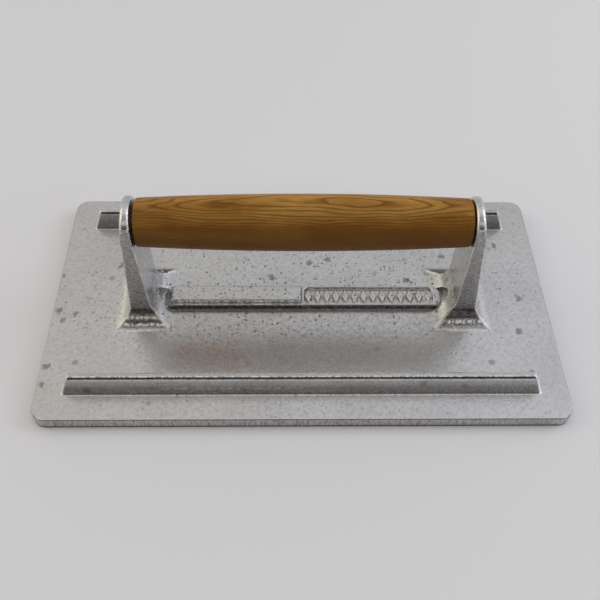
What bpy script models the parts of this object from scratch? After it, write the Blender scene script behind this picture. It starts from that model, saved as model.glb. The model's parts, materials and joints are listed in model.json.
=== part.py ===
"""Hand-held grill press: a one-piece aluminium casting that carries a steel rod,
with a turned wooden grip that spins freely on the rod.

Metres, +Z up, origin at the bottom centre of the plate. +X runs along the plate,
parallel to the grip, and -Y is the front edge.
"""
import math

import bmesh
import bpy

MM = 0.001
GAP = 0.3 * MM                      # clearance between two pieces that touch

# Plate: a 9 x 5 x 1/4 inch slab
PLATE_X = 228.6 * MM
PLATE_Y = 127.0 * MM
PLATE_Z = 6.4 * MM
PLATE_CORNER = 6.0 * MM
PLATE_EDGE = 0.5 * MM
CORNER_STEPS = 6

# The upper shapes start a little below the plate's top, so that they fuse with it
ROOT = 0.8 * MM

# Two stiffening ribs, one behind each long edge
RIB_Y = 47.7 * MM
RIB_FOOT = (203.2 * MM, 7.5 * MM)
RIB_TOP = (196.6 * MM, 2.7 * MM)
RIB_HEIGHT = 9.8 * MM
RIB_ROUND = 1.3 * MM

# Label bar in the middle: a pad on the left, a recessed panel on the right
BAR_X = (-64.0 * MM, 65.3 * MM)
BAR_Y = (-7.2 * MM, 5.4 * MM)
BAR_HEIGHT = 3.0 * MM
BAR_DRAFT = 0.5 * MM
BAR_END_SLOPE = 2.0 * MM
BAR_CORNER = 3.5 * MM
PAD_X = (-60.9 * MM, -0.2 * MM)
PAD_Y = (-5.8 * MM, 4.6 * MM)
PAD_RISE = 1.5 * MM
PAD_DRAFT = 0.8 * MM
PANEL_X = (0.8 * MM, 61.0 * MM)
PANEL_Y = (-5.0 * MM, 4.2 * MM)
PANEL_DEPTH = 1.4 * MM
LOZENGES = 14
LOZENGE_SIZE = (3.3 * MM, 7.8 * MM, 1.2 * MM)

# Uprights: drafted webs with a round eye on top and a flared foot. The left one (-1)
# stands almost straight, and the right one (1) leans inwards.
WEB_AXIS_X = {-1: -72.15 * MM, 1: 71.7 * MM}
WEB_FOOT_X = {-1: -72.9 * MM, 1: 74.3 * MM}
WEB_HALF_AT_AXIS = 2.4 * MM
WEB_DRAFT = 0.055
EYE_RADIUS = 11.0 * MM
EYE_FACE = {side: x + side * WEB_HALF_AT_AXIS for side, x in WEB_AXIS_X.items()}
AXIS_RISE = 51.8 * MM
AXIS_Z = PLATE_Z + AXIS_RISE
FLARE_INNER = {-1: 10.0 * MM, 1: 12.0 * MM}
FLARE_OUTER = 8.0 * MM
FLARE_FRONT_HEIGHT = 5.9 * MM
FLARE_FRONT_REACH = 7.7 * MM
WEB_EDGE = 0.7 * MM
EYE_EDGE = 1.6 * MM

# A round pocket in each inner flare leaves room for the end of the label bar
POCKET_X = (-61.4 * MM, 63.2 * MM)
POCKET_RADIUS = 6.6 * MM
POCKET_FLOOR = 0.3 * MM
POCKET_HEIGHT = 14.0 * MM

# Rod: a quarter-inch bar, its ends peened into countersinks in the eyes
ROD_RADIUS = 3.175 * MM
SINK_RADIUS = 5.0 * MM
SINK_DEPTH = 1.6 * MM
HEAD_RISE = 0.7 * MM
ROD_SIDES = 32

# Grip: a barrel that floats between the uprights
GRIP_X = (-69.0 * MM, 68.9 * MM)
GRIP_LENGTH = GRIP_X[1] - GRIP_X[0]
GRIP_RADIUS_MID = 11.9 * MM
GRIP_RADIUS_END = 10.1 * MM
GRIP_ROUND = 1.0 * MM
GRIP_BORE = 3.6 * MM
GRIP_SIDES = 40
GRIP_STATIONS = 12


def clear_scene():
    for obj in list(bpy.data.objects):
        bpy.data.objects.remove(obj, do_unlink=True)


def make_material(name, colour, roughness, metallic):
    material = bpy.data.materials.new(name)
    material.use_nodes = True
    shader = material.node_tree.nodes["Principled BSDF"]
    shader.inputs["Base Color"].default_value = (*colour, 1.0)
    shader.inputs["Roughness"].default_value = roughness
    shader.inputs["Metallic"].default_value = metallic
    return material


def add_object(name, bm, material=None, crease_degrees=30.0):
    """Turn a finished bmesh into a scene object that is shaded smooth."""
    bmesh.ops.recalc_face_normals(bm, faces=bm.faces)
    mesh = bpy.data.meshes.new(name)
    bm.to_mesh(mesh)
    bm.free()
    mesh.shade_smooth()
    mesh.set_sharp_from_angle(angle=math.radians(crease_degrees))
    if material is not None:
        mesh.materials.append(material)
    obj = bpy.data.objects.new(name, mesh)
    bpy.context.scene.collection.objects.link(obj)
    return obj


def add_tool(name, bm):
    """A hidden shape that a Boolean adds to a piece or cuts from it."""
    obj = add_object(name, bm)
    obj.hide_render = True
    obj.display_type = "WIRE"
    return obj


def boolean(target, tool, operation):
    modifier = target.modifiers.new(tool.name, "BOOLEAN")
    modifier.operation = operation
    modifier.solver = "EXACT"
    modifier.object = tool


def rounded_rectangle(x_range, y_range, radius, z, steps):
    """Points of a rectangle with round corners, counter-clockwise, at height z."""
    x_low, x_high = x_range
    y_low, y_high = y_range
    radius = min(radius, 0.49 * (x_high - x_low), 0.49 * (y_high - y_low))
    centres = (
        (x_high - radius, y_high - radius),
        (x_low + radius, y_high - radius),
        (x_low + radius, y_low + radius),
        (x_high - radius, y_low + radius),
    )
    points = []
    for quarter, (cx, cy) in enumerate(centres):
        for step in range(steps + 1):
            angle = math.radians(90.0) * (quarter + step / steps)
            points.append((cx + radius * math.cos(angle), cy + radius * math.sin(angle), z))
    return points


def loft(bm, rings):
    """Skin a stack of rings that have the same number of points, and cap both ends."""
    loops = [[bm.verts.new(point) for point in ring] for ring in rings]
    count = len(loops[0])
    for lower, upper in zip(loops, loops[1:]):
        for i in range(count):
            j = (i + 1) % count
            bm.faces.new((lower[i], lower[j], upper[j], upper[i]))
    bm.faces.new(loops[0][::-1])
    bm.faces.new(loops[-1])


def centred(length):
    return (-length / 2, length / 2)


def shrunk(span, low, high=None):
    """A (low, high) span with its ends pulled in."""
    return (span[0] + low, span[1] - (low if high is None else high))


def turned(bm, profile, sides, x_middle=0.0):
    """Revolve (x, radius) points about X. A profile that ends at radius 0 is a solid
    bar, and any other profile closes on itself as a tube wall."""
    rings = []
    for x, radius in profile:
        if radius == 0.0:
            rings.append([bm.verts.new((x_middle + x, 0.0, 0.0))])
            continue
        ring = []
        for side in range(sides):
            angle = 2.0 * math.pi * side / sides
            point = (x_middle + x, radius * math.cos(angle), radius * math.sin(angle))
            ring.append(bm.verts.new(point))
        rings.append(ring)
    pairs = list(zip(rings, rings[1:]))
    if len(rings[0]) > 1:
        pairs.append((rings[-1], rings[0]))
    for first, second in pairs:
        for i in range(sides):
            j = (i + 1) % sides
            if len(first) == 1:
                bm.faces.new((first[0], second[i], second[j]))
            elif len(second) == 1:
                bm.faces.new((first[i], first[j], second[0]))
            else:
                bm.faces.new((first[i], first[j], second[j], second[i]))


def web_half_thickness(rise):
    """Half of a web's thickness at a height above the plate."""
    return WEB_HALF_AT_AXIS + WEB_DRAFT * (AXIS_RISE - rise)


def flare(radius, rise):
    """How far a round fillet of this radius stands out from a wall at this height."""
    if rise >= radius:
        return 0.0
    return radius - math.sqrt(radius**2 - (radius - rise) ** 2)


def upright_ring(side, rise, half_y, edge):
    """One level section of an upright. side is -1 for the left one, +1 for the right."""
    down = 1.0 - rise / AXIS_RISE
    middle = WEB_AXIS_X[side] + (WEB_FOOT_X[side] - WEB_AXIS_X[side]) * down
    half = web_half_thickness(rise)
    inner = middle - side * (half + flare(FLARE_INNER[side], max(rise, 0.0)))
    outer = middle + side * (half + flare(FLARE_OUTER, max(rise, 0.0)))
    x_range = (min(inner, outer), max(inner, outer))
    return rounded_rectangle(x_range, centred(2 * half_y), edge, PLATE_Z + rise, 2)


def upright(bm, side):
    rings = []
    rings.append(upright_ring(side, -ROOT, EYE_RADIUS + FLARE_FRONT_REACH, WEB_EDGE))
    for angle in (0, 12, 25, 38, 51, 64, 77, 90):
        rise = FLARE_INNER[side] * (1 - math.cos(math.radians(angle)))
        stand_out = flare(FLARE_FRONT_HEIGHT, rise) * FLARE_FRONT_REACH / FLARE_FRONT_HEIGHT
        rings.append(upright_ring(side, rise, EYE_RADIUS + stand_out, WEB_EDGE))
    for angle in range(0, 81, 10):
        turn = math.radians(angle)
        rise = AXIS_RISE + EYE_RADIUS * math.sin(turn)
        edge = WEB_EDGE + (EYE_EDGE - WEB_EDGE) * math.sin(turn)
        rings.append(upright_ring(side, rise, EYE_RADIUS * math.cos(turn), edge))
    top = upright_ring(side, AXIS_RISE + EYE_RADIUS, 0.4 * MM, 0.3 * MM)
    low, high = min(p[0] for p in top), max(p[0] for p in top)
    pull = 1.0 - 2.0 * EYE_EDGE / (high - low)
    middle = (low + high) / 2
    rings.append([(middle + (x - middle) * pull, y, z) for x, y, z in top])
    loft(bm, rings)


def plate():
    bm = bmesh.new()
    levels = (
        (PLATE_EDGE, 0.0),
        (0.0, PLATE_EDGE),
        (0.0, PLATE_Z - PLATE_EDGE),
        (PLATE_EDGE, PLATE_Z),
    )
    rings = []
    for inset, z in levels:
        x_range = shrunk(centred(PLATE_X), inset)
        y_range = shrunk(centred(PLATE_Y), inset)
        rings.append(rounded_rectangle(x_range, y_range, PLATE_CORNER - inset, z, CORNER_STEPS))
    loft(bm, rings)
    return bm


def ribs():
    bm = bmesh.new()
    for middle in (-RIB_Y, RIB_Y):
        # each level: how far up the drafted side it is, and its inset from that side
        levels = [(0.0, 0.0), (1.0 - RIB_ROUND / RIB_HEIGHT, 0.0)]
        for angle in (30.0, 60.0, 90.0):
            turn = math.radians(angle)
            up = 1.0 - RIB_ROUND / RIB_HEIGHT * (1.0 - math.sin(turn))
            levels.append((up, 0.6 * RIB_ROUND * (1.0 - math.cos(turn))))
        rings = []
        foot = None
        for up, inset in levels:
            length = RIB_FOOT[0] + (RIB_TOP[0] - RIB_FOOT[0]) * up - 2 * inset
            width = RIB_FOOT[1] + (RIB_TOP[1] - RIB_FOOT[1]) * up - 2 * inset
            y_range = (middle - width / 2, middle + width / 2)
            ring = rounded_rectangle(centred(length), y_range, 1.2 * MM, PLATE_Z + RIB_HEIGHT * up, 2)
            if foot is None:
                foot = [(x, y, PLATE_Z - ROOT) for x, y, _ in ring]
                rings.append(foot)
            rings.append(ring)
        loft(bm, rings)
    return bm


def label_bar():
    bm = bmesh.new()
    rings = []
    for rise in (-ROOT, 0.0, BAR_HEIGHT):
        up = max(rise, 0.0) / BAR_HEIGHT
        x_range = shrunk(BAR_X, BAR_END_SLOPE * up, BAR_DRAFT * up)
        y_range = shrunk(BAR_Y, BAR_DRAFT * up)
        rings.append(rounded_rectangle(x_range, y_range, BAR_CORNER, PLATE_Z + rise, 3))
    loft(bm, rings)
    return bm


def bar_pad():
    bm = bmesh.new()
    rings = []
    for rise, draft in ((BAR_HEIGHT - ROOT, 0.0), (BAR_HEIGHT, 0.0), (BAR_HEIGHT + PAD_RISE, PAD_DRAFT)):
        x_range = shrunk(PAD_X, draft, draft / 2)
        y_range = (PAD_Y[0] + 1.6 * draft, PAD_Y[1] - draft / 2)
        rings.append(rounded_rectangle(x_range, y_range, 1.5 * MM, PLATE_Z + rise, 2))
    loft(bm, rings)
    return bm


def bar_panel():
    """Cutter for the sunk panel in the right half of the bar."""
    bm = bmesh.new()
    floor = PLATE_Z + BAR_HEIGHT - PANEL_DEPTH
    rings = []
    for z in (floor, floor + 2 * PANEL_DEPTH):
        rings.append(rounded_rectangle(PANEL_X, PANEL_Y, 1.5 * MM, z, 2))
    loft(bm, rings)
    return bm


def panel_lozenges():
    """A row of plain raised lozenges on the panel's floor."""
    bm = bmesh.new()
    size_x, size_y, size_z = LOZENGE_SIZE
    floor = PLATE_Z + BAR_HEIGHT - PANEL_DEPTH
    middle_y = sum(PANEL_Y) / 2
    pitch = (PANEL_X[1] - PANEL_X[0]) / LOZENGES
    for number in range(LOZENGES):
        middle_x = PANEL_X[0] + pitch * (number + 0.5)
        rings = []
        for z, share in ((floor - ROOT, 1.0), (floor, 1.0), (floor + size_z, 0.8)):
            half_x = size_x / 2 * share
            half_y = size_y / 2 * share
            corners = ((half_x, 0.0), (0.0, half_y), (-half_x, 0.0), (0.0, -half_y))
            rings.append([(middle_x + x, middle_y + y, z) for x, y in corners])
        loft(bm, rings)
    return bm


def uprights():
    bm = bmesh.new()
    for side in (-1, 1):
        upright(bm, side)
    return bm


def pockets():
    """Cutter for the pockets around the label bar's ends."""
    bm = bmesh.new()
    for middle in POCKET_X:
        x_range = (middle - POCKET_RADIUS, middle + POCKET_RADIUS)
        rings = []
        for rise in (POCKET_FLOOR, POCKET_HEIGHT):
            z = PLATE_Z + rise
            rings.append(rounded_rectangle(x_range, centred(2 * POCKET_RADIUS), POCKET_RADIUS, z, 8))
        loft(bm, rings)
    return bm


def eye_bores():
    """Cutter for the rod's hole in both eyes, countersunk at the outer faces."""
    bm = bmesh.new()
    bore = ROD_RADIUS + GAP
    sink = SINK_RADIUS + GAP
    halves = []
    for side, face in EYE_FACE.items():
        beyond = face + side * 2 * MM
        halves.append([(beyond, 0.0), (beyond, sink), (face, sink), (face - side * SINK_DEPTH, bore)])
    turned(bm, halves[0] + halves[1][::-1], ROD_SIDES)
    return bm


def press_casting(material):
    """Plate, ribs, label bar and uprights, cast in one piece."""
    casting = add_object("press_casting", plate(), material)
    boolean(casting, add_tool("upright_shapes", uprights()), "UNION")
    boolean(casting, add_tool("pocket_cutter", pockets()), "DIFFERENCE")
    for name, bm in (
        ("rib_shapes", ribs()),
        ("bar_shape", label_bar()),
        ("pad_shape", bar_pad()),
    ):
        boolean(casting, add_tool(name, bm), "UNION")
    boolean(casting, add_tool("panel_cutter", bar_panel()), "DIFFERENCE")
    boolean(casting, add_tool("lozenge_shapes", panel_lozenges()), "UNION")
    bores = add_tool("bore_cutter", eye_bores())
    bores.location = (0.0, 0.0, AXIS_Z)
    boolean(casting, bores, "DIFFERENCE")
    return casting


def handle_rod(material):
    """Plain bar whose ends are hammered into low domes."""
    ends = []
    for side, face in EYE_FACE.items():
        end = [(face - side * SINK_DEPTH, ROD_RADIUS), (face - side * 0.1 * MM, SINK_RADIUS)]
        for angle in (25.0, 50.0, 75.0):
            turn = math.radians(angle)
            x = face + side * HEAD_RISE * math.sin(turn)
            end.append((x, SINK_RADIUS * math.cos(turn)))
        end.append((face + side * HEAD_RISE, 0.0))
        ends.append(end)
    bm = bmesh.new()
    turned(bm, ends[0][::-1] + ends[1], ROD_SIDES)
    rod = add_object("handle_rod", bm, material)
    rod.location = (0.0, 0.0, AXIS_Z)
    return rod


def grip_radius(x):
    """The barrel's radius at a distance x from its middle."""
    share = 2.0 * x / GRIP_LENGTH
    return GRIP_RADIUS_MID - (GRIP_RADIUS_MID - GRIP_RADIUS_END) * share**2


def wooden_grip(material):
    """Barrel turned in one piece, with a through bore and eased ends."""
    half = GRIP_LENGTH / 2
    shoulder = half - GRIP_ROUND
    side = []
    for station in range(GRIP_STATIONS + 1):
        x = shoulder * (2.0 * station / GRIP_STATIONS - 1.0)
        side.append((x, grip_radius(x)))
    end = []
    for angle in (30.0, 60.0, 90.0):
        turn = math.radians(angle)
        x = shoulder + GRIP_ROUND * math.sin(turn)
        end.append((x, grip_radius(shoulder) - GRIP_ROUND * (1.0 - math.cos(turn))))
    left_end = [(-x, radius) for x, radius in reversed(end)]
    profile = [(-half, GRIP_BORE)] + left_end + side + end + [(half, GRIP_BORE)]
    bm = bmesh.new()
    turned(bm, profile, GRIP_SIDES)
    grip = add_object("wooden_grip", bm, material)
    grip.location = (sum(GRIP_X) / 2, 0.0, AXIS_Z)
    return grip


def build():
    clear_scene()
    press_casting(make_material("cast_aluminium", (0.56, 0.56, 0.55), 0.38, 1.0))
    handle_rod(make_material("rod_steel", (0.45, 0.45, 0.46), 0.35, 1.0))
    wooden_grip(make_material("grip_wood", (0.32, 0.16, 0.06), 0.45, 0.0))


build()
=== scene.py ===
import json
import math

import bpy
import numpy as np
from mathutils import Euler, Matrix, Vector


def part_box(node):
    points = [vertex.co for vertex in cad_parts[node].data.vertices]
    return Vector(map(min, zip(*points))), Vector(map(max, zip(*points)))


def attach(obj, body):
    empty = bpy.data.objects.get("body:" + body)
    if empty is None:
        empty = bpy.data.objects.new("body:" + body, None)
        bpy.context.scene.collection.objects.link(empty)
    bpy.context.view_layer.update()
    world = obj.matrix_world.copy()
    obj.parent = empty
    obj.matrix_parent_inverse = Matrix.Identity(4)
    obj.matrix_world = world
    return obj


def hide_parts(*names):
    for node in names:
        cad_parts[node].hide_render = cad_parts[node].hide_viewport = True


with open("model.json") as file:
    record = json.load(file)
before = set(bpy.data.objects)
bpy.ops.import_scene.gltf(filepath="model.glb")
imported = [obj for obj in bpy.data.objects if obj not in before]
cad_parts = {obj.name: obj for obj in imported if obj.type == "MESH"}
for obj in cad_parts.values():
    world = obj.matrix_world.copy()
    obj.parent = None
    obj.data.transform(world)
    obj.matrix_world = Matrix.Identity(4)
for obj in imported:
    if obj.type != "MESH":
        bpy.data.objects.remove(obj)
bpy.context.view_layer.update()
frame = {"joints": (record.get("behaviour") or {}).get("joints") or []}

# A hand-held press: a cast plate with two ribs and a label bar, and two uprights that
# hold a turned wooden grip on a steel rod.

MM = 0.001

# Driving sizes, in millimetres, read from the frame
CAST_HIGH = np.array(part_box("press_casting")[1]) / MM
GRIP_LOW, GRIP_HIGH = (np.array(corner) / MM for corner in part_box("wooden_grip"))
ROD_LOW, ROD_HIGH = (np.array(corner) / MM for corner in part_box("handle_rod"))
SPIN = next(joint for joint in frame["joints"] if joint["name"] == "grip_spin")
AXIS_Z = SPIN["pos_m"][2] / MM

# The casting, in millimetres. "Rise" is height above the plate's top face.
PLATE_HALF_X = CAST_HIGH[0]
PLATE_HALF_Y = CAST_HIGH[1]
PLATE_Z = 6.4
PLATE_CORNER = 6.0
PLATE_TOP_EDGE = 0.35
PLATE_BOTTOM_EDGE = 0.5
AXIS_RISE = AXIS_Z - PLATE_Z

# Ribs: each pair is half the length and half the width. The chamfer starts this far
# from the rib's middle plane and is this steep.
RIB_Y = 47.7
RIB_HEIGHT = 9.8
RIB_MIDDLE_X = -0.4
RIB_FOOT_HALF = (102.4, 3.75)
RIB_TOP_HALF = (99.1, 1.6)
RIB_CHAMFER_HALF = 0.95
RIB_CHAMFER_ANGLE = math.radians(54.0)
RIB_NOSE = 0.22
RIB_END_EDGE = 1.2
RIB_FILLET = 0.5
# painted shade on the ribs' fronts, heaviest low down, as (rise, shade)
RIB_FRONT_SHADE = ((0.0, 0.50), (4.0, 0.42), (6.0, 0.10))

# The label bar, its flat pad, and its sunk panel with a row of lozenges
BAR_X = (-64.0, 65.3)
BAR_Y = (-6.7, 5.4)
BAR_HEIGHT = 3.0
BAR_DRAFT = 0.15
BAR_END_SLOPE = (0.98, 0.33)
BAR_CORNER = 3.8
BAR_EDGE = 0.35
BAR_FILLET = 0.4
PAD_X = (-61.1, -0.1)
PAD_Y = (-6.2, 4.85)
PAD_HEIGHT = 4.5
PAD_SLOPE = (1.45, 0.55)
PAD_END_SLOPE = 0.3
PAD_CORNER = 0.8
PAD_EDGE = 0.35
# painted highlight lines along the pad's front bevel
BEVEL_GLINT_RISE = (4.05, 3.35)
BEVEL_GLINT_WIDTH = 0.16
PANEL_X = (0.8, 61.0)
PANEL_Y = (-5.0, 4.2)
PANEL_DEPTH = 1.4
PANEL_CORNER = 2.4
PANEL_DRAFT = 0.12
LOZENGES = 14
LOZENGE_HALF = (1.6, 3.9)
LOZENGE_HEIGHT = 1.2
LOZENGE_EDGE = 0.4
# turns the measure of a lozenge's outline into a distance
LOZENGE_SLANT = 0.93

# Uprights, (left, right): the left one stands almost straight, the right one leans in
WEB_AXIS_X = (-72.15, 71.7)
WEB_FOOT_X = (-72.9, 74.3)
WEB_HALF_AT_AXIS = 2.4
WEB_DRAFT = 0.055
EYE_FACE = (WEB_AXIS_X[0] - WEB_HALF_AT_AXIS, WEB_AXIS_X[1] + WEB_HALF_AT_AXIS)
# the radius of the eyes, which is also half the uprights' width
EYE_RADIUS = CAST_HIGH[2] - AXIS_Z
# how round the uprights' edges are, as (rise, radius)
WEB_EDGES = ((0.0, 0.0), (2.0, 0.45), (AXIS_RISE - 4.0, 0.45), (AXIS_RISE + 8.0, 1.6))
# fillets at the uprights' feet. Each starts this far under the plate's top, so its
# outline is crisp.
FLARE_INNER = (10.6, 12.6)
FLARE_OUTER = 8.6
FLARE_SINK = 0.12
FRONT_RADIUS = 8.2
FRONT_SINK = 0.25
FRONT_REACH = 7.7
FRONT_HEIGHT = 5.94
# the front flares lie this close to an upright's middle plane
FLARE_AREA = 16.0
# broken ridges on the front flares, and the lumps between them. The left flares have a
# second, lower row.
CREST_HEIGHT = 0.24
CREST_RISE = (2.9, 1.7)
CREST_WIDTH = 0.40
LOW_CREST_RISE = 1.1
LOW_CREST_WIDTH = 0.30
LUMP_HEIGHT = 0.09
# painted shade in the creases between the ridges, (left, right), as (rise, shade)
CREASE_SHADE = (
    ((0.2, 0.2), (1.9, 0.8), (2.2, 0.1), (3.8, 0.1), (4.4, 0.9), (6.2, 0.9), (7.4, 0.0)),
    ((0.8, 0.1), (1.2, 0.0), (2.2, 0.0), (2.8, 0.9), (6.2, 0.9), (7.4, 0.0)),
)
# shallow round pockets between the label bar and the uprights
POCKET_X = (-62.3, 62.6)
POCKET_RADIUS = 5.0
POCKET_FLOOR = 0.25

# The thinning aims for this many, and ends with more because only the flats lose faces.
CASTING_TRIANGLES = 190000
# faces that turn further than this cosine's angle aren't shaded as one surface
SHARP_COSINE = 0.92
MOST_FACES_AT_A_POINT = 16
# middles of the larger grey stains and of the brown smudge, on the plate's top
STAINS = (
    (-114, 14), (-112, -7), (-104, -9), (-109, -12), (-112, -37), (-112, -46), (-87, 20),
    (13, 24), (4, 22), (-14, 13), (50, 11), (69, 26), (96, 33), (102, 0), (99, -19),
)
SMUDGES = ((-50, -30), (-41, -31), (-32, -32))

# The rod and its countersunk bores
ROD_RADIUS = 3.175
BORE_CLEARANCE = 0.15
SINK_RADIUS = 5.2
SINK_DEPTH = 1.6
ROD_SIDES = 56
# room between the rod's ends and the CAD box, and inside the countersinks
ROD_TIP_GAP = 0.02
SINK_GAP = 0.12

# The grip
GRIP_RADIUS_MID = (GRIP_HIGH[2] - GRIP_LOW[2]) / 2
GRIP_RADIUS_END = 10.1
GRIP_HALF = (GRIP_HIGH[0] - GRIP_LOW[0]) / 2
GRIP_MIDDLE_X = (GRIP_HIGH[0] + GRIP_LOW[0]) / 2
GRIP_ROUND = 0.95
GRIP_BORE = 3.6
GRIP_BORE_EDGE = 0.4
GRIP_SIDES = 112
GRIP_STEPS = 141

# Light from the room around the press: the room itself and its two windows, as
# (left, right)
ROOM = ((0.64, 0.625, 0.575, 1.0), (0.65, 0.66, 0.735, 1.0))
WINDOWS = ((0.92, 0.89, 0.71, 1.0), (0.70, 0.72, 0.80, 1.0))
# Bands across the middle of the room: from, to and softness, in degrees up from the
# front horizon, then the band's light. A later band lies over an earlier one.
ROOM_BANDS = (
    ((131.0, 185.0, 4.0), (0.50, 0.495, 0.49, 1.0)),
    ((84.0, 104.0, 6.0), (0.90, 0.885, 0.875, 1.0)),
    ((45.0, 80.0, 4.0), (0.33, 0.315, 0.30, 1.0)),
    ((40.5, 44.5, 1.0), (1.4, 1.37, 1.33, 1.0)),
    ((4.0, 37.0, 2.5), (0.02, 0.018, 0.016, 1.0)),
)

# The table, in millimetres
FLOOR_HALF = 6000.0
FLOOR_CORNERS = ((-1, -1), (1, -1), (1, 1), (-1, 1))

# Soft lights, in metres: name, place, power and colour
SOFTBOX_SIZE = 0.6
SOFTBOXES = (
    ("cool_window", (0.9, 0.1, 0.5), 2.1, (0.88, 0.93, 1.0)),
    ("warm_window", (-0.9, 0.1, 0.5), 0.9, (1.0, 0.93, 0.82)),
)

# The camera: angles in degrees, lens in millimetres, the rest in metres
CAMERA_AZIMUTH = 1.786
CAMERA_ELEVATION = 52.69
CAMERA_ROLL = 1.398
CAMERA_DISTANCE = 0.3504
CAMERA_TARGET = (-0.00085, -0.00088, 0.0065)
CAMERA_LENS = 44.96


# ---------------------------------------------------------------- distance fields


def fillet_union(a, b, radius):
    """Both shapes, joined by a round fillet."""
    corner = np.hypot(np.maximum(radius - a, 0.0), np.maximum(radius - b, 0.0))
    return np.maximum(radius, np.minimum(a, b)) - corner


def edge_round(a, b, radius):
    """What lies inside both shapes, with a round edge where they cross."""
    corner = np.hypot(np.maximum(radius + a, 0.0), np.maximum(radius + b, 0.0))
    return np.minimum(-radius, np.maximum(a, b)) + corner


def span(value, low, high):
    """Signed distance to the stretch between low and high."""
    return np.abs(value - (low + high) / 2) - (high - low) / 2


def rounded_rectangle(x, y, half_x, half_y, radius):
    """Signed distance to a rectangle with rounded corners."""
    dx = np.abs(x) - half_x + radius
    dy = np.abs(y) - half_y + radius
    outside = np.hypot(np.maximum(dx, 0.0), np.maximum(dy, 0.0))
    return outside + np.minimum(np.maximum(dx, dy), 0.0) - radius


def by_side(x, left_right):
    """The left value where x is negative, the right one elsewhere."""
    return np.where(x < 0, *left_right)


def by_rise(rise, pairs):
    """A value that changes with height, from (rise, value) pairs."""
    return np.interp(rise, *zip(*pairs))


def hump(value, middle, width):
    """1 at the middle, falling smoothly to 0 on both sides."""
    return np.exp(-(((value - middle) / width) ** 2))


def web_offset(x, rise):
    """Distance outwards from the upright's own middle plane."""
    foot = by_side(x, WEB_FOOT_X)
    middle = foot + (by_side(x, WEB_AXIS_X) - foot) * rise / AXIS_RISE
    return (x - middle) * np.where(x < 0, -1.0, 1.0)


def upright_faces(x, y, rise):
    """Distances to an upright's two sides and to its front, rear and round eye. All
    flare out at the foot."""
    half = WEB_HALF_AT_AXIS + WEB_DRAFT * (AXIS_RISE - rise)
    off = web_offset(x, rise)
    low = rise + FLARE_SINK
    inner = fillet_union(-off - half, low, by_side(x, FLARE_INNER))
    outer = fillet_union(off - half, low, FLARE_OUTER)
    stand_out = (np.abs(y) - EYE_RADIUS) * FRONT_HEIGHT / FRONT_REACH
    flare = fillet_union(stand_out + FRONT_SINK, rise + FRONT_SINK, FRONT_RADIUS)
    eye = np.hypot(y, np.maximum(rise - AXIS_RISE, 0.0)) - EYE_RADIUS
    rim = np.minimum(eye, np.maximum(flare, rise - AXIS_RISE))
    return np.maximum(inner, outer), rim


def upright_field(x, y, rise):
    """A drafted web with a round eye. The flares at its foot meet in sharp mitres."""
    sides, rim = upright_faces(x, y, rise)
    body = edge_round(sides, rim, by_rise(rise, WEB_EDGES))
    pocket = POCKET_RADIUS - np.hypot(x - by_side(x, POCKET_X), y)
    return np.minimum(np.maximum(body, np.minimum(pocket, rise - POCKET_FLOOR)), rise)


def rib_field(x, y, rise):
    """Tall narrow ribs along both long edges, drafted on all sides."""
    up = rise / RIB_HEIGHT
    half_x = RIB_FOOT_HALF[0] + (RIB_TOP_HALF[0] - RIB_FOOT_HALF[0]) * up
    half_y = RIB_FOOT_HALF[1] + (RIB_TOP_HALF[1] - RIB_FOOT_HALF[1]) * up
    off = np.abs(np.abs(y) - RIB_Y)
    over = (off - RIB_CHAMFER_HALF) * math.sin(RIB_CHAMFER_ANGLE)
    chamfer = over + (rise - RIB_HEIGHT) * math.cos(RIB_CHAMFER_ANGLE)
    nose = edge_round(off - half_y, edge_round(rise - RIB_HEIGHT, chamfer, RIB_NOSE), RIB_NOSE)
    body = edge_round(nose, np.abs(x - RIB_MIDDLE_X) - half_x, RIB_END_EDGE)
    return fillet_union(body, rise, RIB_FILLET)


def lozenge_field(x, y, rise):
    """A row of plain raised lozenges on the sunk panel."""
    pitch = (PANEL_X[1] - PANEL_X[0]) / LOZENGES
    number = np.clip(np.floor((x - PANEL_X[0]) / pitch), 0, LOZENGES - 1)
    dx = np.abs(x - PANEL_X[0] - pitch * (number + 0.5)) / LOZENGE_HALF[0]
    dy = np.abs(y - sum(PANEL_Y) / 2) / LOZENGE_HALF[1]
    outline = (dx + dy - 1.0) * LOZENGE_HALF[0] * LOZENGE_SLANT
    top = rise - (BAR_HEIGHT - PANEL_DEPTH + LOZENGE_HEIGHT)
    return edge_round(outline, top, LOZENGE_EDGE)


def bar_field(x, y, rise):
    """The label bar: a raised flat pad on the left and a sunk panel on the right."""
    left = BAR_X[0] + BAR_END_SLOPE[0] * rise - x
    right = x - BAR_X[1] + BAR_END_SLOPE[1] * rise
    across = span(y, *BAR_Y) + BAR_DRAFT * rise
    outline = edge_round(np.maximum(left, right), across, BAR_CORNER)
    bar = edge_round(outline, rise - BAR_HEIGHT, BAR_EDGE)
    over = np.maximum(rise - BAR_HEIGHT, 0.0)
    pad_left = PAD_X[0] + BAR_END_SLOPE[0] * over - x
    pad_along = np.maximum(pad_left, x - PAD_X[1] + PAD_END_SLOPE * over)
    pad_front = (PAD_Y[0] + PAD_SLOPE[0] * over - y) / math.hypot(1.0, PAD_SLOPE[0])
    pad_across = np.maximum(pad_front, y - PAD_Y[1] + PAD_SLOPE[1] * over)
    pad = edge_round(edge_round(pad_along, pad_across, PAD_CORNER), rise - PAD_HEIGHT, PAD_EDGE)
    sunk = edge_round(span(x, *PANEL_X), span(y, *PANEL_Y), PANEL_CORNER)
    sunk = sunk + PANEL_DRAFT * (BAR_HEIGHT - rise)
    sunk = np.maximum(sunk, BAR_HEIGHT - PANEL_DEPTH - rise)
    bar = np.minimum(np.maximum(np.minimum(bar, pad), -sunk), lozenge_field(x, y, rise))
    return fillet_union(bar, rise, BAR_FILLET)


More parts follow.
